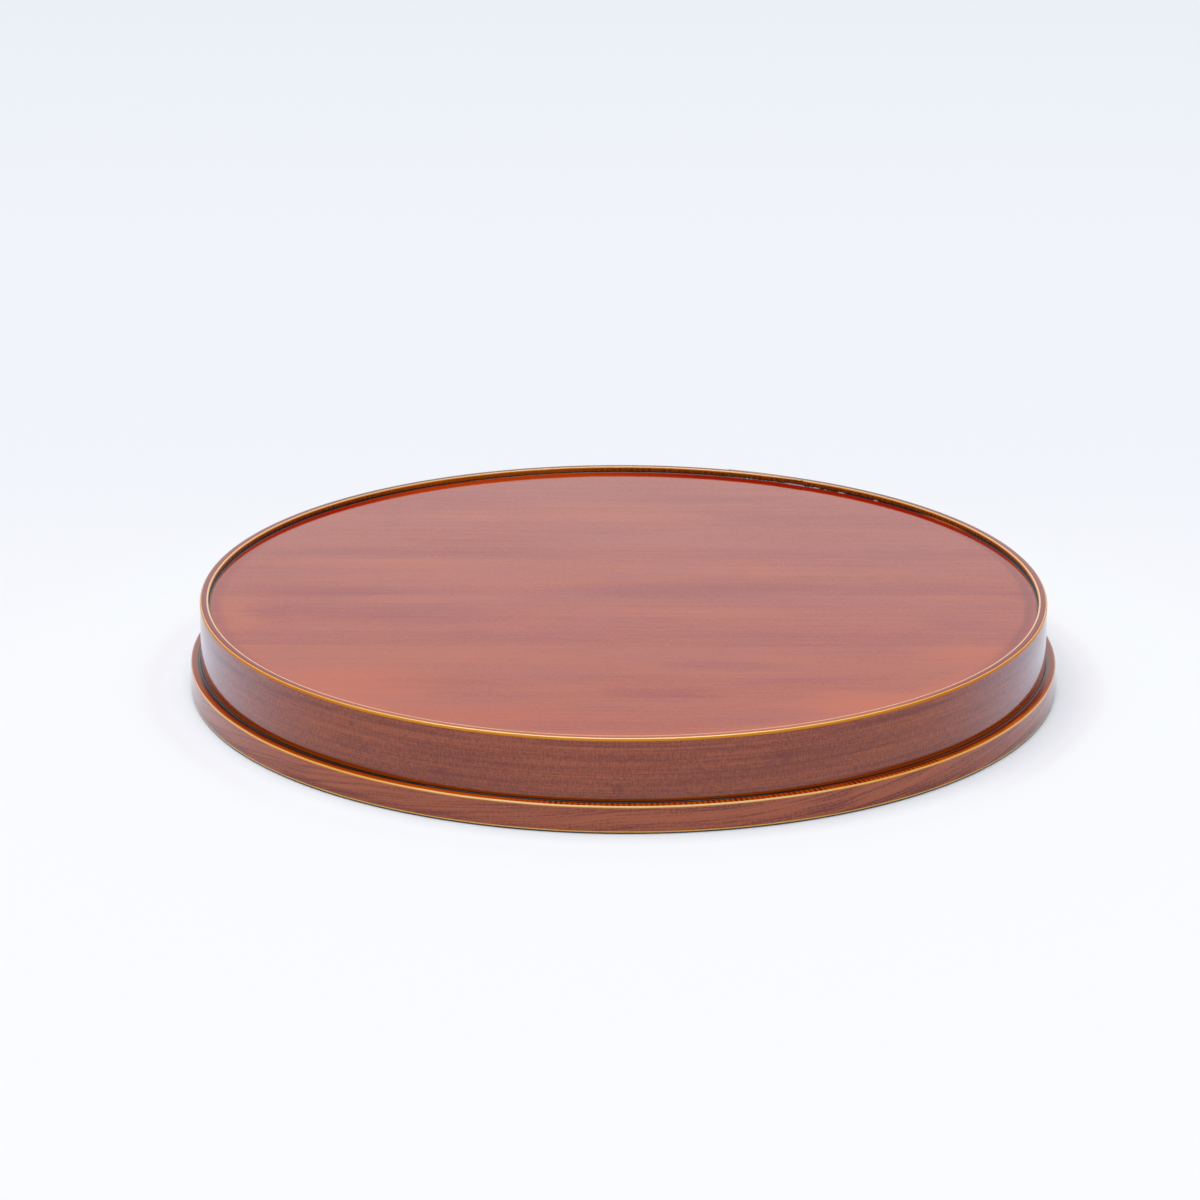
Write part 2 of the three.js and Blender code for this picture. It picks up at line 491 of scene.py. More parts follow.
# Layers of the grain: waves per metre along and across it, detail and weight
BOARD_PATCHES = (
    (8.0, 22.0, 2.0, 0.9),
    (7.0, 80.0, 2.0, 0.6),
)
BOARD_GRAIN = (
    (8.0, 380.0, 3.0, 0.45),
    (14.0, 1200.0, 2.0, 0.85),
    (120.0, 380.0, 2.0, 0.5),
    (700.0, 1300.0, 1.0, 1.1),
)
VEIL_GRAIN = (
    (12.0, 40.0, 2.0, 1.3),
    (16.0, 420.0, 2.0, 1.1),
    (500.0, 1400.0, 1.0, 1.3),
)
HOOP_GRAIN = (
    (7.0, 70.0, 2.0, 0.5),
    (10.0, 420.0, 3.0, 0.85),
    (22.0, 1900.0, 2.0, 0.95),
    (1700.0, 420.0, 2.0, 1.1),
    (260.0, 520.0, 2.0, 0.35),
    (1300.0, 1700.0, 1.0, 1.1),
)
BAND_GRAIN = (
    (9.0, 190.0, 2.0, 1.4),
    (14.0, 700.0, 3.0, 2.6),
    (26.0, 1700.0, 3.0, 3.3),
    (1500.0, 400.0, 2.0, 0.8),
    (1100.0, 1500.0, 1.0, 1.5),
)
LEDGE_GRAIN = (
    (60.0, 900.0, 2.0, 0.003),
)

# Relief of the lacquer over the grain, in the same terms
RELIEF_DEPTH = 0.00002
RELIEF_STRENGTH = 0.5
BOARD_RELIEF = (
    (9.0, 620.0, 3.0, 1.0),
    (500.0, 1300.0, 1.0, 0.35),
)
STRIP_RELIEF = (
    (1500.0, 300.0, 2.0, 0.3),
    (60.0, 900.0, 2.0, 0.35),
    (1300.0, 1500.0, 1.0, 0.12),
)

# Each plank's tone and its soft marks: centre, half length and half width, and weight
PLANKS = {
    "back": (0.02, (
        (0.035, 0.112, 0.030, 0.005, -0.38),
        (-0.070, 0.108, 0.040, 0.012, -0.16),
        (0.000, 0.088, 0.040, 0.008, 0.3),
        (-0.056, 0.091, 0.024, 0.006, 0.22),
        (-0.076, 0.047, 0.070, 0.009, -0.34),
        (0.070, 0.048, 0.090, 0.010, -0.2),
    )),
    "middle": (0.05, (
        (0.028, 0.028, 0.060, 0.010, 0.24),
        (-0.090, 0.037, 0.050, 0.005, 0.36),
        (0.010, 0.006, 0.044, 0.008, -0.3),
        (0.055, 0.011, 0.026, 0.005, -0.28),
        (-0.098, 0.004, 0.028, 0.006, -0.3),
        (-0.070, -0.003, 0.038, 0.004, 0.36),
        (0.100, 0.000, 0.038, 0.004, 0.18),
        (-0.070, -0.021, 0.036, 0.012, -0.26),
        (0.020, -0.017, 0.048, 0.006, 0.26),
        (-0.035, -0.045, 0.065, 0.008, -0.18),
        (0.070, -0.042, 0.044, 0.007, -0.14),
        (0.111, -0.024, 0.020, 0.012, -0.16),
        (-0.133, -0.020, 0.010, 0.020, 0.32),
    )),
    "front": (0.24, (
        (-0.070, -0.062, 0.065, 0.008, 0.2),
        (0.115, -0.056, 0.018, 0.009, 0.24),
        (0.035, -0.070, 0.024, 0.007, -0.28),
        (0.055, -0.088, 0.040, 0.008, -0.24),
        (0.010, -0.098, 0.024, 0.010, -0.38),
        (-0.070, -0.089, 0.050, 0.007, -0.16),
        (-0.086, -0.105, 0.036, 0.010, 0.45),
        (0.087, -0.108, 0.034, 0.011, 0.55),
        (0.002, -0.084, 0.030, 0.006, -0.30),
        (0.040, -0.124, 0.030, 0.003, -0.18),
        (-0.007, -0.129, 0.044, 0.003, -0.06),
    )),
}

# Lighter orange places towards the front: centre, half length and half width, and weight
BOARD_GLOWS = (
    ((-0.096, -0.090), (0.042, 0.022), 0.5),
    ((0.086, -0.110), (0.036, 0.014), 0.65),
    ((-0.048, -0.121), (0.050, 0.015), 0.45),
    ((0.116, -0.060), (0.024, 0.014), 0.3),
    ((-0.134, -0.020), (0.012, 0.034), 0.2),
)

# How the board's look changes from place to place. A ramp is its two limits, with the values that
# it has there where these aren't zero and one, and a zone is its two limits and their softness.
BOARD_WARP = ((24.0, 80.0, 1.0), (0.03, 0.009, 0.0))
RADIUS_WANDER = 0.002
RADIUS_WAVES = (60.0, 60.0, 1.0)
PATCH_SEED = 4.0
VEIL_SEED = 9.0
VEIL_LEVEL = 0.4
VEIL_RAMP = (0.0, 1.0, 0.0, 0.5)
DARK_RING_ZONE = (0.1388, 0.1418, 0.0011)
DARK_RING_RIGHT = (0.07, 0.125, 0.0, 0.8)
DARK_RING_LEFT = (-0.135, -0.1, 0.4, 0.0)
DARK_RING_FRONT = (-0.1, -0.04)
DARK_RING_BACK = (0.06, 0.1, 0.9, 0.0)
GLOW_RING = (0.132, 0.1385)
GLOW_FRONT = (-0.1, -0.04, 0.45, 0.0)
# Where the painted reflection of the inner wall lies: its inner edge, its narrowing to the sides, its
# share from front to back and its orange stretch
WALL_REFLECTION_RAMP = (0.1374, 0.1388)
WALL_REFLECTION_TAPER = (0.06, 0.135, 0.0022, 0.0)
WALL_REFLECTION_SHARE = (0.02, 0.1, 0.25, 0.97)
WALL_REFLECTION_ORANGE_ZONE = (-0.09, 0.01, 0.025)


def board_material(name, seed, tone, marks):
    """Clear amber lacquer over a straight-grained plank, with its grain along X."""
    g = Surface(name)
    place = g.place()
    sides = g.split(place)
    bent = g.warped(place, *BOARD_WARP, seed)
    patches = g.grain(bent, seed + PATCH_SEED, BOARD_PATCHES)
    parts = [patches, g.grain(place, seed, BOARD_GRAIN)]
    for x, y, half_length, half_width, weight in marks:
        parts.append(g.mark(bent, (x, y), (half_length, half_width), weight))
    value = g.math("ADD", g.total(*parts), MIDDLE + tone)
    colour = g.mix(g.ramp(value, 0.0, 1.0), BOARD_DARK, BOARD_LIGHT)
    veil = g.math("ADD", g.grain(place, seed + VEIL_SEED, VEIL_GRAIN), VEIL_LEVEL)
    colour = g.mix(g.ramp(veil, *VEIL_RAMP), colour, BOARD_VEIL)

    # A darker ring near the rim at both sides
    from_axis = g.vector("LENGTH", g.scaled(place, (1.0, 1.0, 0.0)))
    radius = g.math("ADD", from_axis, g.wander(RADIUS_WANDER, place, RADIUS_WAVES))
    beside = g.math("ADD", g.ramp(sides["X"], *DARK_RING_RIGHT), g.ramp(sides["X"], *DARK_RING_LEFT))
    beside = g.times(beside, g.ramp(sides["Y"], *DARK_RING_FRONT), g.ramp(sides["Y"], *DARK_RING_BACK))
    colour = g.mix(g.times(g.zone(radius, *DARK_RING_ZONE), beside), colour, RIM_DARK_RING)

    # The lighter orange places and front rim
    glow = g.times(g.ramp(radius, *GLOW_RING), g.ramp(sides["Y"], *GLOW_FRONT))
    for centre, half, weight in BOARD_GLOWS:
        glow = g.math("MAXIMUM", glow, g.mark(bent, centre, half, weight))
    colour = g.mix(glow, colour, BOARD_ORANGE)

    # The painted reflection of the hoop's inner wall on the board beside the bead at the back, deep
    # red with an orange stretch left of the middle
    narrowed = g.math("SUBTRACT", radius, g.ramp(sides["Y"], *WALL_REFLECTION_TAPER))
    corner = g.times(g.ramp(narrowed, *WALL_REFLECTION_RAMP), g.ramp(sides["Y"], *WALL_REFLECTION_SHARE))
    wall_reflection = g.mix(g.zone(sides["X"], *WALL_REFLECTION_ORANGE_ZONE), WALL_REFLECTION_RED, WALL_REFLECTION_ORANGE)
    colour = g.mix(corner, colour, wall_reflection)
    relief = g.bump(g.grain(place, seed, BOARD_RELIEF), RELIEF_DEPTH, RELIEF_STRENGTH)
    return g.finish(colour, LACQUER_ROUGHNESS, IOR=LACQUER_IOR, Normal=relief)


# A zone across a strip: where it starts and ends, measured from one of the strip's edges, how soft it
# is, and how much of the gloss it takes away or gives back
Zone = namedtuple("Zone", "low high soft dull shine", defaults=(None, None))

STRIP_WARP = ((22.0, 60.0, 1.0), (0.0, 0.004, 0.0))
STRIP_WANDER = 0.0002
STRIP_WANDER_WAVES = (60.0, 300.0, 1.0)
STRIP_WANDER_DETAIL = 3.0
RELIEF_SEED = 1.0
FULL_GLOSS = 0.5


class StripLook:
    """The finish of a bent strip, placed by the distance along it, u, and along its section, v."""

    def __init__(self, name, strip, layers, seed, lean=None):
        self.g = g = Surface(name)
        self.place = g.add("ShaderNodeUVMap", {"uv_map": "strip"}).outputs["UV"]
        self.u, self.v, _ = g.split(self.place)
        self.sides = g.split(g.place())
        self.middle = (strip.inner + strip.outer) / 2
        self.edges = strip.corner_lengths()
        leaning = self.place
        if lean:
            lifted = g.math("SUBTRACT", self.v, lean(g, self.u))
            joined = g.add("ShaderNodeCombineXYZ", X=self.u, Y=lifted).outputs[0]
            leaning = g.warped(joined, *STRIP_WARP, seed)
        self.tones = [g.grain(leaning, seed, layers)]
        self.dull = 0.0
        shift = (seed, seed, 0.0)
        sway = g.wander(STRIP_WANDER, self.place, STRIP_WANDER_WAVES, STRIP_WANDER_DETAIL, shift)
        self.wavy = g.math("ADD", self.v, sway)

    def along(self, degrees):
        """The distance along the strip of an angle round the tray."""
        return math.radians(degrees) * self.middle

    def mark(self, degrees, height_v, half_length, half_height, weight):
        """A soft mark at an angle round the tray and a distance along the section."""
        centre = (self.along(degrees), height_v)
        self.tones.append(self.g.mark(self.place, centre, (half_length, half_height), weight))

    def base(self, tone):
        """The wood's colour, from all tones that were gathered."""
        g = self.g
        value = g.math("ADD", g.total(*self.tones), MIDDLE + tone)
        self.colour = g.mix(g.ramp(value, 0.0, 1.0), STRIP_DARK, STRIP_LIGHT)

    def paint(self, edge, zone, colour, share=1.0):
        """Colours a zone along the section, and takes its reflections away or gives them back."""
        g = self.g
        cover = g.times(g.zone(self.wavy, edge + zone.low, edge + zone.high, zone.soft), share)
        self.colour = g.mix(cover, self.colour, colour)
        if zone.dull is not None:
            self.dull = g.math("MAXIMUM", self.dull, g.times(cover, zone.dull))
        if zone.shine is not None:
            self.dull = g.times(self.dull, g.rest(g.times(cover, zone.shine)))

    def finish(self):
        """The strip's material, with relief over its grain and the gloss that is left."""
        g = self.g
        grain = g.grain(self.place, RELIEF_SEED, STRIP_RELIEF)
        relief = g.bump(grain, RELIEF_DEPTH, RELIEF_STRENGTH)
        gloss = g.math("SUBTRACT", FULL_GLOSS, g.times(self.dull, FULL_GLOSS))
        inputs = {"IOR": LACQUER_IOR, "Normal": relief, "Specular IOR Level": gloss}
        return g.finish(self.colour, LACQUER_ROUGHNESS, **inputs)


# The hoop's grain: a light line that arches over the front, and a darker belt above it
HOOP_TONE = 0.0
ARCH_CENTRE = 281.0
ARCH_DEPTH = 0.0034
ARCH_SAG = 0.09
ARCH_REACH = (247.0, 296.0)
ARCH_FADE = 0.02
ARCH_LINE = (0.0002, 0.0003, 0.3)
BELT_START = 0.0006
BELT_END = 0.0009
BELT_SOFT = 0.0006
BELT_WAVES = (40.0, 500.0, 1.0)
BELT_TONE = (0.3, 0.7, -0.1, -0.34)
BELT_LESS_AT_ARCH = 0.55

# Soft marks on the hoop's outer face: degrees round the tray, height, half length and half height,
# and weight
HOOP_MARKS = (
    (244.0, 0.0155, 0.004, 0.002, -0.2),
    (267.0, 0.0145, 0.003, 0.002, -0.3),
    (231.0, 0.0255, 0.0012, 0.0009, -0.35),
    (246.0, 0.0200, 0.030, 0.007, -0.14),
    (288.0, 0.0230, 0.006, 0.003, -0.2),
    (305.0, 0.0284, 0.034, 0.0012, -0.3),
    (295.0, 0.0238, 0.030, 0.0045, -0.17),
    (231.0, 0.0206, 0.012, 0.0050, -0.12),
)

# The hoop's inner wall
HATCH_WAVES = (900.0, 260.0, 1.0)
HATCH_RAMP = (0.4, 0.62)
LIGHTER_ZONE = (-0.085, -0.01, 0.02)
LIGHTER_SHARE = 0.5
SMEAR_SHARE = (0.05, 0.11, 0.15, 0.75)

# Where the hoop's colours change from front to back, as ramps along Y
FOOT_FROM_FRONT = (-0.14, -0.11)
FOOT_TO_SIDE = (-0.05, 0.0, 1.0, 0.0)
FLAT_FROM_FRONT = (-0.13, -0.08)
FLAT_TO_BACK = (0.06, 0.12)
RIM_FROM_FRONT = (-0.135, -0.1)
RIM_TO_BACK = (-0.05, 0.05)
FLAT_SHARE = 0.85

# Zones from the rim's inner edge, the foot of the bare wall and the rim's outer edge
INNER_WALL_ZONE = Zone(0.0003, 0.004, 0.0002, dull=0.85)
INNER_HIGHLIGHT_ZONE = Zone(-0.00055, -0.0002, 0.0001, dull=0.3)
INNER_GOLD_ZONE = Zone(0.00002, 0.0004, 0.00012, dull=0.85)
INNER_CREST_HIGHLIGHT_ZONE = Zone(-0.0002, 0.00006, 0.00006)
SMEAR_ZONE = Zone(0.0014, 0.0022, 0.00008)
FOOT_SHADE_ZONE = Zone(-0.001, 0.0021, 0.0003, dull=0.8)
FOOT_ZONE = Zone(-0.001, 0.0012, 0.00012, dull=0.9)
RIM_BELOW_ZONE = Zone(-0.0008, 0.00008, 0.00012, dull=0.85)
RIM_ABOVE_ZONE = Zone(0.0003, 0.00058, 0.0001, dull=0.8)
RIM_HIGHLIGHT_ZONE = Zone(0.0, 0.00032, 0.00007, shine=0.95)
FLAT_START = 0.0006
FLAT_END = 0.00058
FLAT_SOFT = 0.0001


def hoop_tones(look, rim):
    """Gathers the arching line, the belt above it and the soft marks."""
    g = look.g
    aside = g.math("SUBTRACT", look.u, look.along(ARCH_CENTRE))
    arched = g.math("ADD", look.wavy, g.times(aside, aside, ARCH_SAG))
    start, end = (look.along(degrees) for degrees in ARCH_REACH)
    reach = g.zone(look.u, start, end, ARCH_FADE)
    half, soft, weight = ARCH_LINE
    crest = rim - ARCH_DEPTH
    line = g.zone(arched, crest - half, crest + half, soft)
    look.tones.append(g.times(line, reach, weight))
    belt = g.zone(arched, crest + BELT_START, rim - BELT_END, BELT_SOFT)
    uneven = g.ramp(g.noise(look.place, BELT_WAVES), *BELT_TONE)
    look.tones.append(g.times(belt, uneven, g.rest(g.times(reach, BELT_LESS_AT_ARCH))))
    for degrees, height, *rest in HOOP_MARKS:
        look.mark(degrees, rim - TRAY_HEIGHT + height, *rest)


def hoop_material(strip):
    """Amber lacquer, deeper inside, with shade painted at the foot, worn light at the rim's edges
    with painted highlights.
    """
    look = StripLook("hoop_lacquer", strip, HOOP_GRAIN, seed=1.0)
    g = look.g
    rim, inner_rim = look.edges[2], look.edges[3]
    foot = rim - TRAY_HEIGHT + BAND_HEIGHT
    side, depth = look.sides["X"], look.sides["Y"]
    hoop_tones(look, rim)
    look.base(HOOP_TONE)

    hatch = g.ramp(g.noise(look.place, HATCH_WAVES, COARSE_DETAIL), *HATCH_RAMP)
    inside = g.mix(hatch, INNER_WALL, INNER_WALL_DARK)
    inside = g.mix(g.times(g.zone(side, *LIGHTER_ZONE), LIGHTER_SHARE), inside, INNER_WALL_LIGHT)
    look.paint(inner_rim, INNER_WALL_ZONE, inside)

    # Painted shade at the foot of the bare wall, between the front and the sides
    beside = g.times(g.ramp(depth, *FOOT_FROM_FRONT), g.ramp(depth, *FOOT_TO_SIDE))
    look.paint(foot, FOOT_SHADE_ZONE, WALL_FOOT_SHADE, beside)
    look.paint(foot, FOOT_ZONE, WALL_FOOT)

    flat = g.mix(g.ramp(depth, *FLAT_FROM_FRONT), FLAT_TOP_FRONT, FLAT_TOP)
    flat = g.mix(g.ramp(depth, *FLAT_TO_BACK), flat, FLAT_TOP_BACK)
    flat_zone = Zone(FLAT_START, inner_rim - rim - FLAT_END, FLAT_SOFT)
    look.paint(rim, flat_zone, flat, FLAT_SHARE)

    behind = g.ramp(depth, *RIM_FROM_FRONT)
    look.paint(rim, RIM_BELOW_ZONE, g.mix(behind, EDGE_GOLD, EDGE_BROWN))
    look.paint(rim, RIM_ABOVE_ZONE, EDGE_AMBER, g.rest(behind))
    # The crown of the rim's outer edge: worn amber with a painted highlight, cream at the front and
    # bright at the sides
    crown_highlight = g.mix(behind, EDGE_CREAM_HIGHLIGHT, EDGE_BRIGHT_HIGHLIGHT)
    look.paint(rim, RIM_HIGHLIGHT_ZONE, g.mix(g.ramp(depth, *RIM_TO_BACK), crown_highlight, EDGE_AMBER))

    # Painted highlights on the rim's inner edge: a cream line on its top side and a brighter crest in
    # its middle, with worn gold towards the wall
    look.paint(inner_rim, INNER_HIGHLIGHT_ZONE, EDGE_INNER_HIGHLIGHT)
    look.paint(inner_rim, INNER_GOLD_ZONE, EDGE_GOLD)
    look.paint(inner_rim, INNER_CREST_HIGHLIGHT_ZONE, EDGE_BACK_HIGHLIGHT)
    smeared = g.ramp(g.math("ABSOLUTE", side), *SMEAR_SHARE)
    look.paint(inner_rim, SMEAR_ZONE, FILLER_SMEAR, smeared)
    return look.finish()


# The band's grain leans upwards along it, and lies level at one place near the front
BAND_SLANT = 0.125
BAND_LEVEL_AT = 276.0
BAND_LEVEL_HALF = 0.02
BAND_TONE = 0.16
BAND_CONTRAST = (-0.07, 0.06, 0.6, 1.05)

# A darker belt low on the band, and soft marks in the same terms as the hoop's
LOW_BELT = (0.0012, 0.003, 0.0008)
LOW_BELT_WAVES = (14.0, 100.0, 1.0)
LOW_BELT_TONE = (0.35, 0.6, -0.12, -0.42)
BAND_MARKS = (
    (229.0, 0.0048, 0.014, 0.006, 0.16),
    (287.0, 0.0048, 0.014, 0.006, 0.26),
    (299.0, 0.0048, 0.009, 0.006, 0.24),
    (307.5, 0.0048, 0.010, 0.006, -0.26),
    (314.0, 0.0048, 0.014, 0.006, -0.24),
)

# The ledge: chatter marks of a plane across it, and its colours inwards, with painted shade by the
# wall, sidewards and backwards
LEDGE_SEED = 3.0
CHATTER_PITCH = 0.0018
CHATTER_ARC = (255.0, 314.0)
CHATTER_FADE = 0.012
CHATTER_RAMP = (-0.5, 0.5)
CHATTER_WAVES = (120.0, 1.0, 1.0)
CHATTER_WORN = (0.35, 0.65, 0.3, 1.0)
LEDGE_SHADE_INWARD = (0.0005, 0.0019)
LEDGE_TO_RIGHT = (-0.03, 0.04)
LEDGE_FROM_FRONT = (-0.143, -0.11)
LEDGE_TO_BACK = (-0.05, -0.01)
LEDGE_DULL = (-0.05, -0.01, 0.92, 0.0)
LEDGE_SMEAR_SHARE = (0.0, 0.08, 1.0, 0.0)
LEDGE_HIGHLIGHT_FROM_FRONT = (-0.145, -0.12)
LEDGE_HIGHLIGHT_TO_BACK = (-0.07, 0.0)
BELOW_LEDGE_SHARE = 0.5

# Zones from the ledge's outer edge, its back and the band's foot
LEDGE_START = 0.00009
LEDGE_PAST_BACK = 0.001
LEDGE_SOFT = 0.00006
LEDGE_SMEAR_ZONE = Zone(-0.00118, 0.001, 0.0001)
BELOW_LEDGE_ZONE = Zone(-0.0008, -0.0004, 0.00012, dull=0.5)
LEDGE_HIGHLIGHT_ZONE = Zone(-0.00046, 0.00008, 0.00008, shine=0.9)
BAND_FOOT_ZONE = Zone(0.0004, 0.0008, 0.0001, dull=0.6)
CONTACT_SHADOW_ZONE = Zone(-0.0004, 0.0004, 0.0001)


def band_lean(g, along):
    """How far the grain has climbed at a distance along the band."""
    middle = (HOOP_RADIUS + BAND_RADIUS) / 2
    beside = g.math("SUBTRACT", along, math.radians(BAND_LEVEL_AT) * middle)
    step = g.math("TANH", g.times(beside, 1 / BAND_LEVEL_HALF))
    back = g.times(step, BAND_SLANT * BAND_LEVEL_HALF)
    return g.math("SUBTRACT", g.times(along, BAND_SLANT), back)


def ledge_colour(look, ledge):
    """The ledge's colour, with its chatter marks and painted shade towards the wall."""
    g = look.g
    side, depth = look.sides["X"], look.sides["Y"]
    streaked = g.math("ADD", look.wavy, g.grain(look.place, LEDGE_SEED, LEDGE_GRAIN))
    shade_inward = g.ramp(streaked, *(ledge + limit for limit in LEDGE_SHADE_INWARD))
    colour = g.mix(g.ramp(side, *LEDGE_TO_RIGHT), LEDGE_RUST, LEDGE_GOLD)
    colour = g.mix(shade_inward, colour, LEDGE_SHADED)
    colour = g.mix(g.ramp(depth, *LEDGE_FROM_FRONT), LEDGE_ORANGE, colour)
    wave = g.math("SINE", g.times(look.u, FULL_TURN / CHATTER_PITCH))
    start, end = (look.along(degrees) for degrees in CHATTER_ARC)
    chatter = g.times(g.ramp(wave, *CHATTER_RAMP), g.zone(look.u, start, end, CHATTER_FADE))
    worn = g.ramp(g.noise(look.place, CHATTER_WAVES), *CHATTER_WORN)
    colour = g.mix(g.times(chatter, worn), colour, LEDGE_RED)
    return g.mix(g.ramp(depth, *LEDGE_TO_BACK), colour, LEDGE_BROWN)


def band_material(strip):
    """Amber lacquer with a leaning grain, light worn edges with painted highlights, and a painted
    contact shadow where it lies.
    """
    look = StripLook("band_lacquer", strip, BAND_GRAIN, seed=2.0, lean=band_lean)
    g = look.g
    foot, ledge, back = look.edges[1], look.edges[2], look.edges[3]
    side, depth = look.sides["X"], look.sides["Y"]
    look.tones[0] = g.times(look.tones[0], g.ramp(side, *BAND_CONTRAST))
    start, end, soft = LOW_BELT
    belt = g.zone(look.wavy, foot + start, foot + end, soft)
    uneven = g.ramp(g.noise(look.place, LOW_BELT_WAVES), *LOW_BELT_TONE)
    look.tones.append(g.times(belt, uneven))
    for degrees, height, *rest in BAND_MARKS:
        look.mark(degrees, foot + height, *rest)
    look.base(BAND_TONE)

    ledge_dull = g.ramp(depth, *LEDGE_DULL)
    ledge_end = back - ledge + LEDGE_PAST_BACK
    ledge_zone = Zone(LEDGE_START, ledge_end, LEDGE_SOFT, dull=ledge_dull)
    look.paint(ledge, ledge_zone, ledge_colour(look, ledge))
    look.paint(back, LEDGE_SMEAR_ZONE, FILLER_SMEAR, g.ramp(side, *LEDGE_SMEAR_SHARE))
    look.paint(ledge, BELOW_LEDGE_ZONE, EDGE_GOLD, BELOW_LEDGE_SHARE)
    # The crown of the ledge's edge: worn amber with a painted highlight, cream at the front and
    # bright at the sides
    crown_highlight = g.mix(g.ramp(depth, *LEDGE_HIGHLIGHT_FROM_FRONT), EDGE_CREAM_HIGHLIGHT, EDGE_BRIGHT_HIGHLIGHT)
    crown_highlight = g.mix(g.ramp(depth, *LEDGE_HIGHLIGHT_TO_BACK), crown_highlight, EDGE_AMBER)
    look.paint(ledge, LEDGE_HIGHLIGHT_ZONE, crown_highlight)
    look.paint(foot, BAND_FOOT_ZONE, EDGE_DEEP)
    # A painted contact shadow on the lower rounding where the band stands
    look.paint(foot, CONTACT_SHADOW_ZONE, CONTACT_SHADOW)
    return look.finish()


# The filler in the beads, whose v runs from zero at the wall to one at the toe
FILLER_GLOSS = 0.3
FILLER_ROUGHNESS = 0.1
FILLER_IOR = 1.5
LUMP_WAVES = (700.0, 700.0, 700.0)
LUMP_RAMP = (0.4, 0.75)
LUMP_RELIEF = (0.00006, 0.4)
TOE_WANDER = 0.3
TOE_WAVES = (900.0, 900.0, 1.0)

# The plain bead's toe, thinner towards the right
THIN_TOE = (0.03, 0.09, 0.0, 0.4)
THIN_TOE_RAMP = (0.98, 1.12)

# The bubbly bead's toe, wider at the back right, the stretch where it is worn off, and its bubbles
# with painted glints
WIDE_TOE = (0.02, 0.06, 0.0, -0.25)
WIDE_TOE_BACK = (0.0, 0.05)
WIDE_TOE_RAMP = (0.8, 0.96)
WORN_ZONE = (0.110, 0.122, 0.004)
WORN_BACK = (0.0, 0.02, 0.0, 0.85)
BUBBLE_ZONE = (0.042, 0.082, 0.004)
BUBBLE_BACK = (0.0, 0.02)
BUBBLE_WAVES = (1300.0, 1300.0, 1.0)
BUBBLE_OFFSET = (3.0, 1.0, 0.0)
BUBBLE_RAMP = (0.5, 0.6)
BUBBLE_ACROSS = (0.4, 0.9, 0.1)
CROWD_WAVES = (130.0, 1.0, 1.0)
CROWD_RAMP = (0.4, 0.56)
BIG_BUBBLE_SHARE = 0.95
BIG_BUBBLE_ACROSS = (0.3, 0.95, 0.1)
BIG_BUBBLES = (
    (0.0620, 0.1291, 0.0034),
    (0.0648, 0.1277, 0.0022),
    (0.0710, 0.1244, 0.0018),
    (0.0803, 0.1186, 0.0018),
    (0.0925, 0.1093, 0.0012),
)


def filler_surface(name):
    """The start of a filler's material: its place, its v, its v with a wavy toe and its colour."""
    g = Surface(name)
    strip_place = g.add("ShaderNodeUVMap", {"uv_map": "strip"}).outputs["UV"]
    across = g.split(strip_place)["Y"]
    place = g.place()
    lumps = g.noise(place, LUMP_WAVES)
    toe = g.math("ADD", across, g.wander(TOE_WANDER, place, TOE_WAVES))
    colour = g.mix(g.ramp(lumps, *LUMP_RAMP), FILLER_DARK, FILLER_BROWN)
    g.put(g.shader.inputs["Normal"], g.bump(lumps, *LUMP_RELIEF))
    g.put(g.shader.inputs["Specular IOR Level"], FILLER_GLOSS)
    return g, place, across, toe, colour


def plain_filler(name):
    """Hardened dark filler whose toe is thin enough to show the wood."""
    g, place, across, toe, colour = filler_surface(name)
    thin = g.ramp(g.split(place)["X"], *THIN_TOE)
    # The thin toe shows the ledge's colour with its painted shade
    colour = g.mix(g.ramp(g.math("ADD", toe, thin), *THIN_TOE_RAMP), colour, LEDGE_SHADED)
    return g.finish(colour, FILLER_ROUGHNESS, IOR=FILLER_IOR)


def bubbly_filler(name):
    """Hardened dark filler with bubbles along the stretch beside the hoop's lap, their glints painted
    pale.
    """
    g, place, across, toe, colour = filler_surface(name)
    side, depth, _ = g.split(place)
    wide = g.times(g.ramp(side, *WIDE_TOE), g.ramp(depth, *WIDE_TOE_BACK))
    colour = g.mix(g.ramp(g.math("ADD", toe, wide), *WIDE_TOE_RAMP), colour, FILLER_TOE)
    worn = g.times(g.zone(side, *WORN_ZONE), g.ramp(depth, *WORN_BACK))
    colour = g.mix(worn, colour, INNER_WALL)

    fine = g.ramp(g.noise(place, BUBBLE_WAVES, COARSE_DETAIL, BUBBLE_OFFSET), *BUBBLE_RAMP)
    crowd = g.ramp(g.noise(place, CROWD_WAVES, COARSE_DETAIL), *CROWD_RAMP)
    stretch = g.times(g.zone(side, *BUBBLE_ZONE), g.ramp(depth, *BUBBLE_BACK))
    bubbles = g.times(fine, crowd, g.zone(across, *BUBBLE_ACROSS), stretch)
    for *centre, size in BIG_BUBBLES:
        bubble = g.mark(place, centre, (size, size), BIG_BUBBLE_SHARE)
        bubble = g.times(bubble, g.zone(across, *BIG_BUBBLE_ACROSS))
        bubbles = g.math("MAXIMUM", bubbles, bubble)
    # The bubbles' glints, painted as pale spots
    colour = g.mix(bubbles, colour, BUBBLE_GLINT)
    return g.finish(colour, FILLER_ROUGHNESS, IOR=FILLER_IOR)


def finish_piece(piece, material, slot_name, *nodes):
    """Gives a piece its material, and says what it rides on and what it replaces. Its slot_name is
    not used.
    """
    piece.data.materials.clear()
    piece.data.materials.append(material)
    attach(piece, "root")
    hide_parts(*nodes)


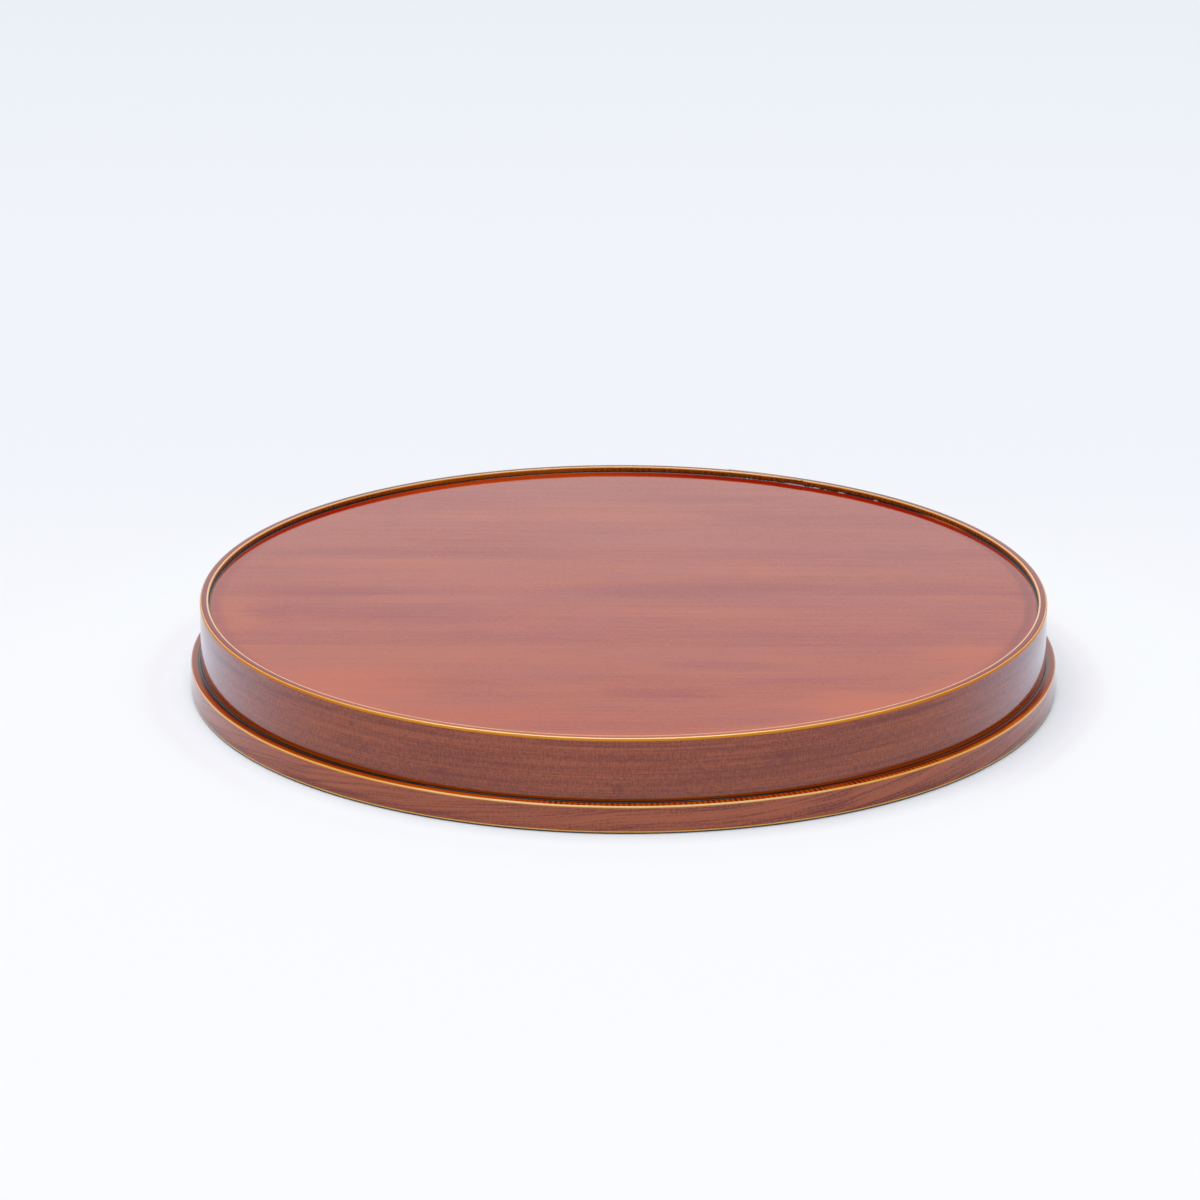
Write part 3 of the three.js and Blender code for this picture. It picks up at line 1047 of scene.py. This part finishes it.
# The pieces
hoop = Strip(
    HOOP_INNER, HOOP_RADIUS, TRAY_HEIGHT,
    (EDGE_RADIUS, HIDDEN_EDGE_RADIUS, EDGE_RADIUS, FINE_EDGE_RADIUS), HOOP_LAP_TURN,
)
band = Strip(
    HOOP_RADIUS, BAND_RADIUS, BAND_HEIGHT,
    (HIDDEN_EDGE_RADIUS, EDGE_RADIUS, EDGE_RADIUS, HIDDEN_EDGE_RADIUS), BAND_LAP_TURN,
)
hoop_piece = bent_strip("hoop_strip", hoop)
band_piece = bent_strip("band_strip", band)
finish_piece(hoop_piece, hoop_material(hoop), "hoop_lacquer", "side_hoop")
finish_piece(band_piece, band_material(band), "band_lacquer", "rim_band")

plain = plain_filler("filler")
bubbly = bubbly_filler("filler_bubbly")
underside_bead = corner_bead("underside_bead", HOOP_INNER, BOARD_UNDERSIDE, -1, 1, seed=3.0)
ledge_bead = corner_bead("ledge_bead", HOOP_RADIUS, BAND_HEIGHT, 1, 1, seed=5.0)
inner_bead = corner_bead("inner_bead", HOOP_INNER, BOARD_SERVING_SIDE, -1, -1, seed=7.0)
finish_piece(underside_bead, bubbly, "filler", "underside_corner_filler")
finish_piece(ledge_bead, plain, "filler", "ledge_corner_filler")
finish_piece(inner_bead, plain, "filler", "inner_corner_filler")

for seed, (plank, (tone, marks)) in enumerate(PLANKS.items()):
    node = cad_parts[f"board_plank_{plank}"]
    node.data.materials.clear()
    node.data.materials.append(board_material(f"board_{plank}", float(seed + 1), tone, marks))

# The camera, where the photograph was taken from
PHOTO_WIDTH_PX = 1200
FOCAL_LENGTH_PX = 5158
SENSOR_WIDTH_MM = 36.0
CAMERA_DISTANCE = 1.7983
CAMERA_ELEVATION = math.radians(19.76)
CAMERA_ROLL = math.radians(0.126)
AIM = Vector((-0.0085, 0.0821, 0.0))

camera_data = bpy.data.cameras.new("camera")
camera_data.sensor_width = SENSOR_WIDTH_MM
camera_data.lens = FOCAL_LENGTH_PX * SENSOR_WIDTH_MM / PHOTO_WIDTH_PX
camera = bpy.data.objects.new("camera", camera_data)
camera.location = (
    0.0,
    -CAMERA_DISTANCE * math.cos(CAMERA_ELEVATION),
    CAMERA_DISTANCE * math.sin(CAMERA_ELEVATION),
)
camera.rotation_mode = "QUATERNION"
looking = (AIM - camera.location).to_track_quat("-Z", "Y")
camera.rotation_quaternion = looking @ Matrix.Rotation(CAMERA_ROLL, 3, "Z").to_quaternion()
bpy.context.scene.collection.objects.link(camera)
bpy.context.scene.camera = camera

# The floor
FLOOR_HALF = 6.0
FLOOR_CORNERS = ((-1, -1), (1, -1), (1, 1), (-1, 1))
FLOOR_NEAR = rgb(0.948, 0.956, 0.99)
FLOOR_MIDDLE = rgb(0.87, 0.895, 0.945)
FLOOR_FAR = rgb(0.79, 0.825, 0.895)
# Painted cool shade beside the tray
FLOOR_COOL_SHADE = rgb(0.925, 0.97, 1.0)
FLOOR_SHADE = rgb(0.865, 0.89, 0.935)
FLOOR_GLINT = rgb(0.06, 0.27, 0.48)
FLOOR_ROUGHNESS = 1.0
FLOOR_GLOSS = 0.0
MIDDLE_RAMP = (-0.1, 0.3)
FAR_RAMP = (0.3, 1.6)
COOL_SHADE_RAMP = (0.15, 0.24)

# The soft shade at both sides of the tray, weaker at the left
SHADE_ZONE = (0.1545, 0.1655, 0.004)
SHADE_SIDES = (0.1, 0.15)
SHADE_TO_RIGHT = (-0.1, 0.1, 0.55, 1.0)

# The cool glint that the lacquer mirrors, and the weak one that is seen beside the tray
GLINT_FROM_FRONT = (-0.125, -0.03)
GLINT_TO_BACK = (0.0, 0.06, 1.0, 0.1)
GLINT_FROM_TRAY = (0.15, 0.167, 0.3, 1.0)
COOL_FROM_TRAY = (0.15, 0.168, 0.16, 0.0)


def floor_material():
    """Matt white that turns bluer with depth, is shaded beside the tray, and glows in mirrors."""
    g = Surface("floor")
    place = g.place()
    side, depth, _ = g.split(place)
    from_axis = g.vector("LENGTH", place)
    colour = g.mix(g.ramp(depth, *MIDDLE_RAMP), FLOOR_NEAR, FLOOR_MIDDLE)
    colour = g.mix(g.ramp(depth, *FAR_RAMP), colour, FLOOR_FAR)
    # Painted cool shade: the floor turns bluer beside the tray
    colour = g.mix(g.ramp(from_axis, *COOL_SHADE_RAMP), FLOOR_COOL_SHADE, colour)
    sides = g.ramp(g.math("ABSOLUTE", side), *SHADE_SIDES)
    shade = g.times(g.zone(from_axis, *SHADE_ZONE), sides, g.ramp(side, *SHADE_TO_RIGHT))
    colour = g.mix(shade, colour, FLOOR_SHADE)

    path = g.add("ShaderNodeLightPath").outputs
    glint = g.times(g.ramp(depth, *GLINT_FROM_FRONT), g.ramp(depth, *GLINT_TO_BACK))
    glint = g.times(glint, g.ramp(from_axis, *GLINT_FROM_TRAY), path["Is Glossy Ray"])
    cool = g.times(path["Is Camera Ray"], g.ramp(from_axis, *COOL_FROM_TRAY))
    g.put(g.shader.inputs["Specular IOR Level"], FLOOR_GLOSS)
    g.put(g.shader.inputs["Emission Color"], FLOOR_GLINT)
    g.put(g.shader.inputs["Emission Strength"], g.math("ADD", glint, cool))
    return g.finish(colour, FLOOR_ROUGHNESS)


floor_mesh = bpy.data.meshes.new("floor")
floor_points = [(x * FLOOR_HALF, y * FLOOR_HALF, 0.0) for x, y in FLOOR_CORNERS]
floor_mesh.from_pydata(floor_points, [], [(0, 1, 2, 3)])
floor_mesh.materials.append(floor_material())
floor = bpy.data.objects.new("floor", floor_mesh)
bpy.context.scene.collection.objects.link(floor)

# The light: an even fill, a sky that only camera and mirrors see, and a broad lamp above
FILL_COLOUR = rgb(1.0, 1.0, 1.0)
FILL = 0.3
SEEN_LOW = rgb(1.02, 1.07, 1.09)
SEEN_HIGH = rgb(0.7, 0.7, 0.72)
SEEN_TURN_LOW = 0.295
SEEN_TURN_HIGH = 0.355
KEY_SHARE = 0.72
KEY_TOWARDS = Vector((-0.07, 0.0, 1.0))
KEY_SPREAD = math.radians(50)

world = bpy.data.worlds.new("studio")
world.use_nodes = True
bpy.context.scene.world = world
g = Graph(world.node_tree)
fill = g.nodes["Background"]
g.put(fill.inputs["Color"], FILL_COLOUR)
g.put(fill.inputs["Strength"], FILL)
rise = g.split(g.place("Generated"))["Z"]
turn = g.add("ShaderNodeMapRange", Value=rise, From_Min=SEEN_TURN_LOW, From_Max=SEEN_TURN_HIGH)
seen = g.add("ShaderNodeBackground", Color=g.mix(turn.outputs["Result"], SEEN_LOW, SEEN_HIGH))
path = g.add("ShaderNodeLightPath").outputs
direct = g.math("MAXIMUM", path["Is Camera Ray"], path["Is Glossy Ray"])
direct = g.math("MAXIMUM", direct, path["Is Transmission Ray"])
chosen = g.add("ShaderNodeMixShader")
for socket, source in zip(chosen.inputs, (direct, fill.outputs[0], seen.outputs[0])):
    g.put(socket, source)
g.put(g.nodes["World Output"].inputs["Surface"], chosen.outputs[0])

key_data = bpy.data.lights.new("key", "SUN")
key_data.angle = KEY_SPREAD
key_data.energy = KEY_SHARE * math.pi
key = bpy.data.objects.new("key", key_data)
key.location = KEY_TOWARDS
key.rotation_mode = "QUATERNION"
key.rotation_quaternion = (-KEY_TOWARDS).to_track_quat("-Z", "Y")
bpy.context.scene.collection.objects.link(key)

bpy.context.scene.view_settings.view_transform = "Standard"
